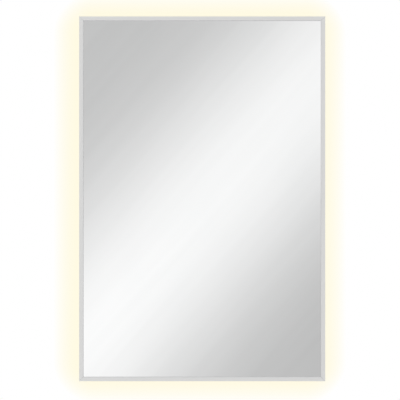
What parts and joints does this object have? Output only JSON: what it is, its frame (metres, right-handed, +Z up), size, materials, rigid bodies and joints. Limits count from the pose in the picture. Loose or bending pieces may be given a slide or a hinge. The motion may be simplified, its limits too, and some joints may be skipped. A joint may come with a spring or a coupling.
{
  "type": "lighted bathroom mirror",
  "caption": "Slim metal-framed wall mirror lit from behind, its light leaving through a gap towards the wall, on adjustable keyhole hangers, with a rocker switch beneath.",
  "frame": {"origin": "middle of the flat back that lies on the wall", "axes": "+Z up, +X to the viewer's right, -Y from the wall towards the room, so the mirror looks along -Y"},
  "size_m": [0.622, 0.035, 0.922],
  "materials": {
    "frame": "satin anodised",
    "gasket": "matt extruded",
    "corner_key": "as cast",
    "mirror": "silvered",
    "film": "adhesive film",
    "board": "lacquered composite board",
    "rail": "satin anodised",
    "strip": "white solder mask",
    "chip": "phosphor",
    "diffuser": "opal",
    "bracket": "zinc plated",
    "cover": "satin sheet",
    "screw": "zinc plated",
    "hanger": "galvanised",
    "switch": "moulded",
    "pin": "ground",
    "contact": "bright",
    "driver": "moulded",
    "circuit": "solder mask",
    "transformer": "taped winding",
    "capacitor": "sleeved",
    "terminal_box": "moulded",
    "terminal_block": "moulded",
    "grommet": "matt moulded",
    "lead": "flexible sheath"
  },
  "bodies": {
    "mirror": {"frame_bottom": "frame", "frame_left": "frame", "frame_top": "frame", "frame_right": "frame", "gasket_bottom": "gasket", "gasket_left": "gasket", "gasket_top": "gasket", "gasket_right": "gasket", "corner_keys": "corner_key", "mirror_pane": "mirror", "safety_film": "film", "backing_board": "board", "light_rail_bottom": "rail", "light_rail_left": "rail", "light_rail_top": "rail", "light_rail_right": "rail", "led_strip_bottom": "strip", "led_strip_left": "strip", "led_strip_top": "strip", "led_strip_right": "strip", "led_chips_bottom": "chip", "led_chips_left": "chip", "led_chips_top": "chip", "led_chips_right": "chip", "diffuser_bottom": "diffuser", "diffuser_left": "diffuser", "diffuser_top": "diffuser", "diffuser_right": "diffuser", "rail_brackets": "bracket", "back_cover": "cover", "corner_screws": "screw", "bracket_screws": "screw", "board_screws": "screw", "cover_screws": "screw", "hanger_screws": "screw", "hanger_housing_left": "hanger", "hanger_housing_right": "hanger", "switch_body": "switch", "switch_pin": "pin", "switch_terminals": "contact", "clamp_screws": "contact", "driver_case": "driver", "driver_lid": "driver", "driver_board": "circuit", "driver_transformer": "transformer", "driver_capacitors": "capacitor", "terminal_box": "terminal_box", "terminal_lid": "terminal_box", "terminal_block": "terminal_block", "cable_grommet": "grommet", "mains_lead": "lead", "led_lead": "lead", "switch_lead": "lead", "strip_jumpers": "lead"},
    "left_hook": {"hanger_hook_left": "hanger"},
    "right_hook": {"hanger_hook_right": "hanger"},
    "left_levelling_screw": {"levelling_screw_left": "screw"},
    "right_levelling_screw": {"levelling_screw_right": "screw"},
    "rocker": {"switch_rocker": "switch"}
  },
  "joints": [
    {"name": "rocker_switch", "type": "hinge", "parent": "mirror", "child": "rocker", "pos_m": [0.2, -0.0195, -0.4578], "axis": [0, -1, 0], "range_deg": [0, 20]},
    {"name": "left_levelling", "type": "hinge", "parent": "mirror", "child": "left_levelling_screw", "pos_m": [-0.2, -0.0175, 0.38], "axis": [0, 0, 1], "range_deg": [-1630, 1630]},
    {"name": "right_levelling", "type": "hinge", "parent": "mirror", "child": "right_levelling_screw", "pos_m": [0.2, -0.0175, 0.38], "axis": [0, 0, 1], "range_deg": [-1630, 1630]},
    {"name": "left_hook_slide", "type": "slide", "parent": "mirror", "child": "left_hook", "axis": [0, 0, 1], "range_m": [-0.0036, 0.0036]},
    {"name": "right_hook_slide", "type": "slide", "parent": "mirror", "child": "right_hook", "axis": [0, 0, 1], "range_m": [-0.0036, 0.0036]}
  ],
  "couplings": [
    {"joint": "left_levelling", "follows": "left_hook_slide", "rad_per_m": -7854},
    {"joint": "right_levelling", "follows": "right_hook_slide", "rad_per_m": -7854}
  ]
}
